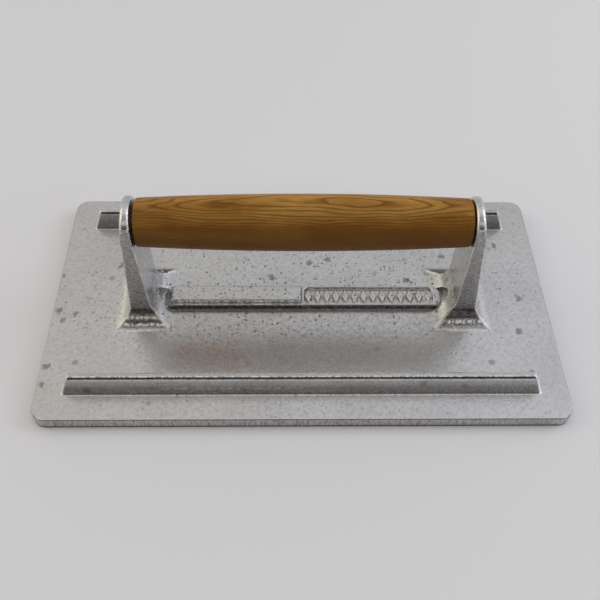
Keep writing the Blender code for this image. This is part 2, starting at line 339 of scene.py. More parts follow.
def bore_field(x, y, rise):
    """The rod's hole through both eyes, countersunk on the outside."""
    beyond_face = np.abs(x) - np.abs(by_side(x, EYE_FACE))
    bore = ROD_RADIUS + BORE_CLEARANCE
    depth = np.clip(1.0 + beyond_face / SINK_DEPTH, 0.0, 1.0)
    return np.hypot(y, rise - AXIS_RISE) - bore - (SINK_RADIUS - bore) * depth


def casting_field(x, y, z):
    """Signed distance, in millimetres, to the whole casting."""
    rise = z - PLATE_Z
    top = np.minimum(upright_field(x, y, rise), rib_field(x, y, rise))
    top = np.minimum(top, bar_field(x, y, rise))
    side = rounded_rectangle(x, y, PLATE_HALF_X, PLATE_HALF_Y, PLATE_CORNER)
    body = edge_round(top, side, PLATE_TOP_EDGE)
    body = edge_round(body, -z, PLATE_BOTTOM_EDGE)
    return np.maximum(body, -bore_field(x, y, rise))


# ---------------------------------------------------------------- surface from a field


def grid_line(*stretches):
    """Grid positions: a start, then (end, spacing) for each stretch."""
    points = [stretches[0]]
    for end, spacing in stretches[1:]:
        steps = max(1, round((end - points[-1]) / spacing))
        points.extend(np.linspace(points[-1], end, steps + 1)[1:])
    return np.array(points)


def joined(left, right):
    """A whole grid line from its two halves, both counted outwards from the middle."""
    return np.concatenate([-left[:0:-1], right])


def surface_net(field, lines):
    """Points and quads of the field's zero level, with one point in each grid cell
    that the surface passes through."""
    values = field(*np.meshgrid(*lines, indexing="ij", sparse=True)).astype(np.float32)
    inside = values < 0
    corners = [(i, j, k) for i in (0, 1) for j in (0, 1) for k in (0, 1)]
    cells = [n - 1 for n in values.shape]

    def at(array, corner):
        """The array at this corner of every cell."""
        return array[tuple(slice(c, c + n) for c, n in zip(corner, cells))]

    count = sum(at(inside, corner).astype(np.int8) for corner in corners)
    active = np.argwhere((count > 0) & (count < 8))
    total = np.zeros((len(active), 3))
    crossings = np.zeros((len(active), 1))
    for corner in corners:
        for axis in range(3):
            if corner[axis]:
                continue
            start = active + corner
            end = start.copy()
            end[:, axis] += 1
            a = values[tuple(start.T)]
            b = values[tuple(end.T)]
            crossed = (a < 0) != (b < 0)
            share = np.where(crossed, a / np.where(crossed, a - b, 1.0), 0.0)
            point = np.stack([lines[i][start[:, i]] for i in range(3)], axis=1)
            point[:, axis] += share * (lines[axis][end[:, axis]] - point[:, axis])
            total += point * crossed[:, None]
            crossings += crossed[:, None]
    index = np.full(cells, -1)
    index[tuple(active.T)] = np.arange(len(active))

    quads = []
    for axis in range(3):
        u, v = (axis + 1) % 3, (axis + 2) % 3
        lower = [slice(1, -1)] * 3
        upper = [slice(1, -1)] * 3
        lower[axis] = slice(0, -1)
        upper[axis] = slice(1, None)
        a = inside[tuple(lower)]
        crossing = np.argwhere(a != inside[tuple(upper)])
        leaving = a[tuple(crossing.T)]
        crossing += [0 if i == axis else 1 for i in range(3)]
        around = []
        for du, dv in ((0, 0), (-1, 0), (-1, -1), (0, -1)):
            cell = crossing.copy()
            cell[:, u] += du
            cell[:, v] += dv
            around.append(index[tuple(cell.T)])
        quad = np.stack(around, axis=1)
        quads.append(np.where(leaving[:, None], quad, quad[:, ::-1]))
    return total / crossings, np.concatenate(quads)


def gradient(field, points, step=0.01):
    """Which way the field grows at each point, and how steeply."""
    slopes = []
    for axis in range(3):
        offset = np.zeros(3)
        offset[axis] = step
        ahead = field(*(points + offset).T)
        behind = field(*(points - offset).T)
        slopes.append((ahead - behind) / (2 * step))
    return np.stack(slopes, axis=1)


def settle(field, points, rounds=3, limit=0.3):
    """Move points onto the field's zero level."""
    for _ in range(rounds):
        slope = gradient(field, points)
        size = np.maximum((slope**2).sum(axis=1), 1e-6)
        move = -field(*points.T) / size
        move = slope * move[:, None]
        length = np.linalg.norm(move, axis=1, keepdims=True)
        points = points + move * np.minimum(1.0, limit / np.maximum(length, 1e-9))
    return points


def lattice_noise(points, cell, seed):
    """Smooth noise between -1 and 1 that varies over this many millimetres."""
    table = np.random.default_rng(seed).uniform(-1.0, 1.0, (64, 64, 64))
    place = points / cell
    base = np.floor(place).astype(int)
    part = place - base
    part = part * part * (3.0 - 2.0 * part)
    total = np.zeros(len(points))
    for corner in np.ndindex(2, 2, 2):
        weight = np.prod(np.where(corner, part, 1.0 - part), axis=1)
        total += weight * table[tuple(((base + corner) % 64).T)]
    return total


# ---------------------------------------------------------------- meshes


def new_object(name, points_mm, faces, material):
    """A smooth-shaded piece from points in millimetres."""
    mesh = bpy.data.meshes.new(name)
    mesh.from_pydata((np.asarray(points_mm) * MM).tolist(), [], faces)
    mesh.materials.append(material)
    mesh.shade_smooth()
    obj = bpy.data.objects.new(name, mesh)
    bpy.context.scene.collection.objects.link(obj)
    return obj


def weighted_shading(mesh):
    """Shade each corner by the faces around it that turn less than a sharp angle away,
    the largest counting most, so flats look flat and creases stay crisp."""
    faces = len(mesh.polygons)
    directions = np.empty(faces * 3, dtype=np.float32)
    mesh.polygons.foreach_get("normal", directions)
    directions = directions.reshape(-1, 3)
    areas = np.empty(faces, dtype=np.float32)
    mesh.polygons.foreach_get("area", areas)
    corners = np.empty(faces, dtype=np.int32)
    mesh.polygons.foreach_get("loop_total", corners)
    points = np.empty(len(mesh.loops), dtype=np.int32)
    mesh.loops.foreach_get("vertex_index", points)
    face = np.repeat(np.arange(faces), corners)
    order = np.argsort(points, kind="stable")
    point, facing = points[order], directions[face[order]]
    pull = facing * (areas[face[order]] ** 1.5)[:, None]
    total = pull.copy()
    for step in range(1, MOST_FACES_AT_A_POINT):
        near = point[step:] == point[:-step]
        near &= (facing[step:] * facing[:-step]).sum(axis=1) > SHARP_COSINE
        total[step:][near] += pull[:-step][near]
        total[:-step][near] += pull[step:][near]
    normals = np.empty_like(total)
    normals[order] = total / np.maximum(np.linalg.norm(total, axis=1, keepdims=True), 1e-30)
    mesh.normals_split_custom_set(normals.tolist())


def paint(obj, name, values):
    """Store one number for each point of a piece, for its material to read."""
    layer = obj.data.attributes.new(name, "FLOAT", "POINT")
    layer.data.foreach_set("value", np.asarray(values, dtype=np.float32))


def casting_grid():
    """Grid lines for the casting's skin, closer together where it has more detail."""
    edge_x, edge_y = PLATE_HALF_X, PLATE_HALF_Y
    margin = 0.6
    ends = (
        (89.0, 0.5), (96.0, 1.2), (104.0, 0.45),
        (edge_x - 8.0, 1.4), (edge_x - 1.6, 0.6), (edge_x + margin, 0.22),
    )
    right = grid_line(0.0, (62.0, 0.34), *ends)
    left = grid_line(0.0, (46.0, 1.0), *ends)
    across = grid_line(
        0.0, (8.0, 0.33), (19.5, 0.5), (RIB_Y - 6.0, 1.6), (RIB_Y + 6.0, 0.36),
        (edge_y - 1.6, 0.7), (edge_y + margin, 0.22),
    )
    up = grid_line(
        -margin, (1.0, 0.22), (PLATE_Z - 1.0, 1.1), (PLATE_Z + 1.2, 0.2),
        (PLATE_Z + 11.0, 0.36), (PLATE_Z + 15.0, 0.6), (AXIS_Z - 12.0, 1.4),
        (CAST_HIGH[2] + margin, 0.5),
    )
    return joined(left, right), joined(across, across), up


def flat_bottom(points, quads):
    """Replace the many quads of the flat underside with one face."""
    z = points[:, 2]
    under = (z[quads] < 0.004).all(axis=1)
    edges = dict.fromkeys(
        (int(a), int(b)) for quad in quads[under] for a, b in zip(quad, np.roll(quad, -1))
    )
    border = {a: b for a, b in edges if (b, a) not in edges}
    loop = [next(iter(border))]
    while border[loop[-1]] != loop[0]:
        loop.append(border[loop[-1]])
    faces = quads[~under].tolist() + [loop]
    used = np.zeros(len(points), dtype=bool)
    for face in faces:
        used[face] = True
    new_index = np.cumsum(used) - 1
    return points[used], [[int(new_index[i]) for i in face] for face in faces]


def open_flats(points):
    """Which points lie on the plate's top, well away from every edge and corner."""
    probe = 2.4
    clear = casting_field(*(points + (0.0, 0.0, probe)).T) > probe - 0.02
    inside = rounded_rectangle(*points[:, :2].T, PLATE_HALF_X, PLATE_HALF_Y, PLATE_CORNER) < -1.5
    return np.flatnonzero(clear & inside & (np.abs(points[:, 2] - PLATE_Z) < 0.01))


def thinned(points, faces, triangles):
    """The same skin with fewer faces on its open flats."""
    mesh = bpy.data.meshes.new("dense_skin")
    mesh.from_pydata(points.tolist(), [], faces)
    dense = bpy.data.objects.new("dense_skin", mesh)
    bpy.context.scene.collection.objects.link(dense)
    thinning = dense.modifiers.new("thinning", "DECIMATE")
    thinning.ratio = triangles / (2 * len(faces))
    dense.vertex_groups.new(name="flats").add(open_flats(points).tolist(), 1.0, "REPLACE")
    thinning.vertex_group = "flats"
    evaluated = dense.evaluated_get(bpy.context.evaluated_depsgraph_get())
    thin = bpy.data.meshes.new_from_object(evaluated)
    bpy.data.objects.remove(dense)
    places = np.empty(len(thin.vertices) * 3, dtype=np.float32)
    thin.vertices.foreach_get("co", places)
    return places.reshape(-1, 3).astype(float), [list(face.vertices) for face in thin.polygons]


def unit_normals(field, points):
    """The way out of the field's surface at each point."""
    normals = gradient(field, points)
    return normals / np.maximum(np.linalg.norm(normals, axis=1, keepdims=True), 1e-6)


def coarseness(points, normals):
    """1 on the uprights' front flares, which came out of the mould rough, and less on the webs'
    fronts and the pad's bevel. Their dark scale colour is partly painted shade."""
    x, y = points[:, 0], points[:, 1]
    rise = points[:, 2] - PLATE_Z
    facing = np.clip((np.abs(normals[:, 1]) - 0.25) * 5.0, 0.0, 1.0) * (rise > 0.05)
    by_upright = np.abs(web_offset(x, rise)) < FLARE_AREA
    flare = by_upright & (np.abs(y) > EYE_RADIUS - 0.3) & (rise < FRONT_HEIGHT + 0.2)
    flare &= np.abs(y) < EYE_RADIUS + FRONT_REACH + 0.6
    from_axis = np.hypot(y, np.maximum(rise - AXIS_RISE, 0.0))
    web = by_upright & (np.abs(from_axis - EYE_RADIUS) < 1.0) & (rise < AXIS_RISE + 5.5)
    bevel = (x > PAD_X[0]) & (x < PAD_X[1]) & (np.abs(y + 5.2) < 1.6) & (rise > BAR_HEIGHT - 0.2)
    return facing * np.where(flare, 1.0, np.where(web, 0.55, np.where(bevel, 0.95, 0.0)))


def flare_crests(points, coarse):
    """Broken ridges along the front flares: two rows on the left and one on the right."""
    rise = points[:, 2] - PLATE_Z
    broken = np.clip(0.5 + 2.2 * lattice_noise(points * (1.0, 0.4, 0.7), 0.8, 4), 0.0, 1.2)
    rows = hump(rise, by_side(points[:, 0], CREST_RISE), CREST_WIDTH)
    rows += hump(rise, LOW_CREST_RISE, LOW_CREST_WIDTH) * (points[:, 0] < 0)
    return rows * broken * np.where(np.abs(points[:, 1]) > EYE_RADIUS - 1.0, coarse, 0.0)


def painted_glints(points, normals, coarse):
    """Painted highlights, as near-white colour: 1 on the uprights' sharp mitres, the crests of the
    front flares, the pad's front bevel and the ribs' noses."""
    x, y = points[:, 0], points[:, 1]
    rise = points[:, 2] - PLATE_Z
    sides, rim = upright_faces(x, y, rise)
    from_mitre = np.maximum(np.abs(sides), np.abs(rim))
    mitre = np.clip(1.6 - 2.2 * from_mitre, 0.0, 1.0) * (rise > 0.4) * (rise < AXIS_RISE - 3.0)
    broken = np.clip(0.4 + 2.0 * lattice_noise(points * (1.0, 0.1, 0.1), 0.8, 8), 0.0, 1.0)
    on_bevel = (x > PAD_X[0]) & (x < PAD_X[1]) & (y < PAD_Y[0] + 3.0) & (normals[:, 1] < -0.3)
    lines = sum(hump(rise, middle, BEVEL_GLINT_WIDTH) for middle in BEVEL_GLINT_RISE)
    bevel = on_bevel * lines * broken
    on_nose = (np.abs(np.abs(y) - RIB_Y - RIB_CHAMFER_HALF) < 0.3) & (rise > RIB_HEIGHT - 0.25)
    nose = on_nose * (np.abs(normals[:, 1]) > 0.12) * broken
    crests = np.clip(2.4 * flare_crests(points, coarse) - 0.3, 0.0, 1.0)
    return np.maximum(np.maximum(0.85 * mitre, crests), np.maximum(bevel, nose))


def roughened(points):
    """The skin with the ridges and lumps of the coarse places."""
    normals = unit_normals(casting_field, points)
    coarse = coarseness(points, normals)
    lumps = LUMP_HEIGHT * coarse * lattice_noise(points * (1.0, 2.0, 2.0), 2.0, 3)
    lumps *= np.abs(points[:, 1]) > EYE_RADIUS - 1.0
    return points + normals * (lumps + CREST_HEIGHT * flare_crests(points, coarse))[:, None]


def painted_shade_mask(points, normals, coarse):
    """Painted shade, as dark colour: on the label bar's front wall, low on the ribs' fronts and in
    the creases of the front flares. Also a little darker on the ribs' tops and on the pad's rear
    and end bevels."""
    x, y = points[:, 0], points[:, 1]
    rise = points[:, 2] - PLATE_Z
    by_bar = (x > BAR_X[0] + 1.5) & (x < BAR_X[1] - 3.0) & (np.abs(y + 6.2) < 1.3)
    steep = np.clip(-2.0 * normals[:, 1] - 0.9, 0.0, 1.0)
    wall = by_bar * np.clip((rise - 0.5) / 0.6, 0.0, 1.0) * steep

    by_rib = np.abs(np.abs(y) - RIB_Y) < 5.0
    rib_front = by_rib & (normals[:, 1] < -0.8)
    rib = rib_front * by_rise(rise, RIB_FRONT_SHADE)
    rib_top = 0.12 * (by_rib & (rise > RIB_HEIGHT - 0.1))

    low_flare = (np.abs(y) > EYE_RADIUS - 0.4) & (rise < FRONT_HEIGHT + 1.5) & (coarse > 0.3)
    creases = low_flare * by_side(x, [by_rise(rise, pairs) for pairs in CREASE_SHADE])

    by_pad = (x > PAD_X[0] - 0.4) & (x < PAD_X[1] + 0.8) & (y > -3.0) & (y < 6.2)
    pad_slope = by_pad & (rise > BAR_HEIGHT - 0.1) & (rise < PAD_HEIGHT - 0.15)
    behind_pad = 0.35 * (pad_slope & (normals[:, 2] < 0.97))
    return np.max([wall, rib, rib_top, creases, behind_pad], axis=0)


def wear_and_painted_sheen(points, normals, coarse):
    """How worn the skin is at outer edges and on the pad's top, with painted sheen on the ribs'
    noses and the flares' crests."""
    x, y = points[:, 0], points[:, 1]
    rise = points[:, 2] - PLATE_Z
    reach = 0.8
    edge = 1.0 + casting_field(*(points - normals * reach).T) / reach
    from_rib = np.abs(np.abs(y) - RIB_Y)
    nose = (rise > RIB_HEIGHT - 1.1) & (from_rib < 1.7) & (np.abs(normals[:, 1]) > 0.5)
    pad_top = (x > PAD_X[0] + 3.0) & (x < PAD_X[1] - 0.6) & (rise > PAD_HEIGHT - 0.1)
    pad_top &= (y > PAD_Y[0] + 2.6) & (y < PAD_Y[1] - 1.4)
    return np.max([edge, 0.5 * nose, flare_crests(points, coarse), 0.20 * pad_top], axis=0)


def shelter(points, normals):
    """How hollow the skin is here, and so how much dirt stays."""
    reach = 1.5
    hollow = 1.0 - casting_field(*(points + normals * reach).T) / reach
    from_pocket = np.hypot(points[:, 0] - by_side(points[:, 0], POCKET_X), points[:, 1])
    return hollow * np.where(from_pocket < POCKET_RADIUS + 1.0, 0.3, 1.0)


def make_casting(material):
    """The plate with its ribs, label bar and uprights, as one skin."""
    points, quads = surface_net(casting_field, casting_grid())
    points = roughened(settle(casting_field, points))
    points, faces = flat_bottom(points, quads)
    points, faces = thinned(points, faces, CASTING_TRIANGLES)
    normals = unit_normals(casting_field, points)
    coarse = coarseness(points, normals)
    side = rounded_rectangle(*points[:, :2].T, PLATE_HALF_X, PLATE_HALF_Y, PLATE_CORNER)

    casting = new_object("cast_press_body", points, faces, material)
    weighted_shading(casting.data)
    paint(casting, "hollow", np.clip(shelter(points, normals), 0.0, 1.0))
    paint(casting, "wear_and_sheen", np.clip(wear_and_painted_sheen(points, normals, coarse), 0.0, 1.0))
    paint(casting, "coarse", coarse)
    paint(casting, "level", np.clip(5.0 * normals[:, 2] - 4.0, 0.0, 1.0))
    paint(casting, "bright", painted_glints(points, normals, coarse))
    paint(casting, "painted_shade", painted_shade_mask(points, normals, coarse))
    paint(casting, "ground", (side > -0.3) & (points[:, 2] < PLATE_Z + 0.02))
    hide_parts("press_casting")
    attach(casting, "press_body")
    return casting


def turned(profile, sides):
    """Points and faces of (x, radius) pairs revolved about X. Ends at radius 0 close
    in a point, and any other profile closes on itself."""
    points, faces, rings = [], [], []
    angles = np.linspace(0.0, 2 * np.pi, sides, endpoint=False)
    for x, radius in profile:
        first = len(points)
        if radius == 0.0:
            points.append((x, 0.0, 0.0))
            rings.append([first] * sides)
        else:
            points.extend((x, radius * np.sin(a), radius * np.cos(a)) for a in angles)
            rings.append(list(range(first, first + sides)))
    pairs = list(zip(rings, rings[1:]))
    if profile[0][1] != 0.0:
        pairs.append((rings[-1], rings[0]))
    for one, two in pairs:
        for i in range(sides):
            j = (i + 1) % sides
            corners = dict.fromkeys((one[i], two[i], two[j], one[j]))
            faces.append(list(corners))
    return np.array(points), faces


def grip_radius(x):
    """The barrel's radius, least at its ends."""
    return GRIP_RADIUS_MID - (GRIP_RADIUS_MID - GRIP_RADIUS_END) * (x / GRIP_HALF) ** 2


def make_grip(material):
    """The turned barrel, with eased ends and a through bore."""
    shoulder = GRIP_HALF - GRIP_ROUND
    side = [(x, grip_radius(x)) for x in np.linspace(-shoulder, shoulder, GRIP_STEPS)]
    ends = []
    for angle in np.linspace(0.0, np.pi / 2, 8)[1:]:
        x = shoulder + GRIP_ROUND * np.sin(angle)
        ends.append((x, grip_radius(shoulder) - GRIP_ROUND * (1.0 - np.cos(angle))))
    left = [(-x, radius) for x, radius in reversed(ends)]
    right_bore = [
        (GRIP_HALF, GRIP_BORE + GRIP_BORE_EDGE),
        (GRIP_HALF - GRIP_BORE_EDGE, GRIP_BORE),
    ]
    left_bore = [(-x, radius) for x, radius in reversed(right_bore)]
    points, faces = turned(left_bore + left + side + ends + right_bore, GRIP_SIDES)

    radius = np.hypot(points[:, 1], points[:, 2])
    outside = radius > GRIP_BORE + 1.0
    uneven = -0.04 + 0.04 * lattice_noise(points * (0.25, 1.0, 1.0), 6.0, 5)
    scale = 1.0 + np.where(outside, uneven / np.maximum(radius, 1.0), 0.0)
    points[:, 1:] *= scale[:, None]

    grip = new_object("turned_wooden_grip", points, faces, material)
    grip.location = (GRIP_MIDDLE_X * MM, 0.0, AXIS_Z * MM)
    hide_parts("wooden_grip")
    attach(grip, "grip")
    return grip


def make_rod(material):
    """The rod, its ends hammered into the countersinks."""
    sink = SINK_RADIUS - SINK_GAP
    tips = (ROD_LOW[0] + ROD_TIP_GAP, ROD_HIGH[0] - ROD_TIP_GAP)
    ends = []
    for side, face, tip in zip((-1, 1), EYE_FACE, tips):
        end = [
            (face - side * (SINK_DEPTH + 0.5), ROD_RADIUS),
            (face - side * SINK_DEPTH, ROD_RADIUS),
            (face - side * 0.1, sink),
        ]
        for angle in np.linspace(0.0, np.pi / 2, 9)[1:-1]:
            end.append((face + (tip - face) * np.sin(angle), sink * np.cos(angle)))
        end.append((tip, 0.0))
        ends.append(end)
    shaft = [(x, ROD_RADIUS) for x in np.linspace(EYE_FACE[0] + 4.0, EYE_FACE[1] - 4.0, 15)]
    points, faces = turned(ends[0][::-1] + shaft + ends[1], ROD_SIDES)
    head = (points[:, 0] < EYE_FACE[0] + 0.05) | (points[:, 0] > EYE_FACE[1] - 0.05)
    dents = np.abs(lattice_noise(points, 1.6, 7)) * 0.22
    points[:, 0] -= np.sign(points[:, 0]) * np.where(head, dents, 0.0)
    rod = new_object("riveted_rod", points, faces, material)
    rod.location = (0.0, 0.0, AXIS_Z * MM)
    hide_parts("handle_rod")
    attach(rod, "press_body")
    return rod


# ---------------------------------------------------------------- materials


class Nodes:
    """A small helper that adds nodes to a tree and links them."""

    def __init__(self, tree):
        self.tree = tree

    def node(self, kind, inputs=(), **settings):
        """A new node with these settings and these values or links on its inputs."""
        made = self.tree.nodes.new(kind)
        for key, value in settings.items():
            setattr(made, key, value)
        for key, value in dict(inputs).items():
            self.feed(made.inputs[key], value)
        return made

    def feed(self, socket, value):
        """Link a node's output to the socket, or set the socket's value."""
        if isinstance(value, bpy.types.NodeSocket):
            self.tree.links.new(value, socket)
        else:
            socket.default_value = value

    def math(self, operation, *values):
        """The result of one sum on numbers or links."""
        made = self.tree.nodes.new("ShaderNodeMath")
        made.operation = operation
        for socket, value in zip(made.inputs, values):
            self.feed(socket, value)
        return made.outputs[0]

    def times(self, a, b):
        """The product of two numbers or links."""
        return self.math("MULTIPLY", a, b)

    def stretch(self, vector, scale):
        """The position, multiplied along each axis."""
        made = self.node("ShaderNodeMapping", {"Vector": vector})
        made.inputs["Scale"].default_value = scale
        return made.outputs[0]

    def noise(self, vector, per_mm, detail=2.0, rough=0.5):
        """Noise between 0 and 1, with this many lumps in a millimetre."""
        inputs = {"Vector": vector, "Scale": per_mm, "Detail": detail, "Roughness": rough}
        return self.node("ShaderNodeTexNoise", inputs).outputs["Fac"]

    def window(self, value, low, high, start=0.0, end=1.0):
        """Start where the value is below low, end where it is above high, and smooth
        between."""
        made = self.node("ShaderNodeMapRange", interpolation_type="SMOOTHSTEP")
        for socket, number in zip(made.inputs, (value, low, high, start, end)):
            self.feed(socket, number)
        return made.outputs[0]

    def blend(self, factor, first, second):
        """The first colour where the factor is 0 and the second where it is 1."""
        made = self.node("ShaderNodeMix", data_type="RGBA")
        self.feed(made.inputs[0], factor)
        self.feed(made.inputs[6], first)
        self.feed(made.inputs[7], second)
        return made.outputs[2]


class Shader(Nodes):
    """The nodes of one new material, and its surface shader."""

    def __init__(self, name):
        self.material = bpy.data.materials.new(name)
        self.material.use_nodes = True
        super().__init__(self.material.node_tree)
        self.surface = self.tree.nodes["Principled BSDF"]

    def bump(self, height, strength, distance, under=None):
        """Relief this many millimetres high, on top of any relief under it."""
        inputs = {"Height": height, "Strength": strength, "Distance": distance * MM}
        made = self.node("ShaderNodeBump", inputs)
        if under is not None:
            self.feed(made.inputs["Normal"], under)
        return made.outputs[0]

    def millimetres(self):
        """Position on the piece, in millimetres."""
        place = self.node("ShaderNodeTexCoord").outputs["Object"]
        return self.stretch(place, (1 / MM, 1 / MM, 1 / MM))

    def painted(self, name):
        """A number that was stored on the piece's points."""
        return self.node("ShaderNodeAttribute", attribute_name=name).outputs["Fac"]


def grey(level, warmth=0.0):
    """A grey, made warmer with more red and less blue."""
    return (level * (1 + warmth), level, level * (1 - warmth), 1.0)


# The cast skin and what lies on it
SKIN_DULL = grey(0.65, 0.008)
SKIN_CLEAN = grey(0.71, 0.002)
SKIN_MOTTLE = grey(0.52, 0.015)
SKIN_GRAIN = grey(0.38, 0.02)
# colour of worn edges and of the painted sheen
SKIN_WORN_SHEEN = grey(0.82, 0.005)
# colour of the painted highlights
SKIN_GLINT = (0.97, 0.93, 0.87, 1.0)
SMUDGE_BROWN = (0.54, 0.41, 0.33, 1.0)
STAIN_GREY = grey(0.27, 0.005)
SCALE_DARK_AND_SHADE = (0.07, 0.060, 0.048, 1.0)
SCALE_PALE = grey(0.44, 0.03)
CORNER_DIRT = (0.19, 0.155, 0.11, 1.0)
# colour of the painted shade
SHADE_DARK = (0.05, 0.04, 0.03, 1.0)
PIT_DARK = (0.10, 0.09, 0.075, 1.0)
# the plate's ground sides
GROUND_DARK = grey(0.21, 0.05)
GROUND_PALE = grey(0.60, 0.03)
BURR_GREY = grey(0.20, 0.05)
FOOT_SHADE = grey(0.04, 0.10)

# The wood of the grip
WOOD_PALE = (0.55, 0.285, 0.058, 1.0)
WOOD_DEEP = (0.34, 0.145, 0.018, 1.0)
WOOD_LATE = (0.145, 0.048, 0.006, 1.0)
WOOD_FIBRE = (0.145, 0.054, 0.008, 1.0)
WOOD_PORE = (0.07, 0.028, 0.006, 1.0)
# colour of the painted shade on the grip's front and underside
WOOD_SHADED = (0.095, 0.030, 0.003, 1.0)
# where the growth rings' centre lies from the grip's axis, and how wide a ring is
PITH_Y = -3.0
PITH_Z = -46.0
RING_WIDTH = 0.62

# The rod and the table
STEEL_CLEAN = grey(0.46, 0.02)
STEEL_TARNISHED = grey(0.33, 0.05)
FLOOR_COLOUR = (0.858, 0.851, 0.870, 1.0)


def speckles(shader, place, per_mm, share, size):
    """Scattered round spots: 1 in a spot, 0 elsewhere. Share is how many cells have one."""
    cells = shader.node("ShaderNodeTexVoronoi", {"Vector": place, "Scale": per_mm})
    chance = shader.node("ShaderNodeSeparateColor", {"Color": cells.outputs["Color"]})
    chosen = shader.math("LESS_THAN", chance.outputs[0], share)
    radius = shader.math("MULTIPLY_ADD", chance.outputs[1], size, size * 0.5)
    beyond = shader.math("SUBTRACT", cells.outputs["Distance"], radius)
    return shader.times(shader.window(beyond, 0.0, 0.12, 1.0, 0.0), chosen)


def ragged_stains(shader, place, middles, size):
    """Irregular stains of about this size, in millimetres, on the plate's top."""
    ragged = shader.noise(place, 0.7, 3.0, 0.7)
    total = 0.0
    for x, y in middles:
        ends = {0: place, 1: (x, y, PLATE_Z)}
        away = shader.node("ShaderNodeVectorMath", ends, operation="DISTANCE").outputs["Value"]
        reach = shader.math("MULTIPLY_ADD", ragged, size * 2.6, away)
        stain = shader.window(reach, size * 1.82, size * 2.00, 1.0, 0.0)
        total = shader.math("MAXIMUM", total, stain)
    return total


def cast_pits(s, place, worn):
    """Small dark pits, fainter away from the middle and none where the skin is worn."""
    squeezed = s.stretch(place, (0.3, 1.0, 1.0))
    from_middle = s.node("ShaderNodeVectorMath", {0: squeezed}, operation="LENGTH").outputs["Value"]
    crowded = s.window(from_middle, 18.0, 45.0, 1.0, 0.35)
    large = speckles(s, place, 0.5, 0.40, 0.15)
    small = speckles(s, place, 1.1, 0.30, 0.20)
    return s.times(s.math("MAXIMUM", large, small), s.times(crowded, s.math("SUBTRACT", 1.0, worn)))


def ground_sides(s, place, marks):
    """The plate's sides: streaks from the grinding wheel, a dull burr along the top and
    shade along the foot."""
    height = s.node("ShaderNodeSeparateXYZ", {"Vector": place}).outputs[2]
    colour = s.blend(s.window(marks, 0.36, 0.56), GROUND_DARK, GROUND_PALE)
    burr = s.window(height, PLATE_Z - 0.9, PLATE_Z - 0.35, 0.0, 0.85)
    colour = s.blend(burr, colour, BURR_GREY)
    return s.blend(s.window(height, 0.9, 1.7, 0.97, 0.0), colour, FOOT_SHADE)


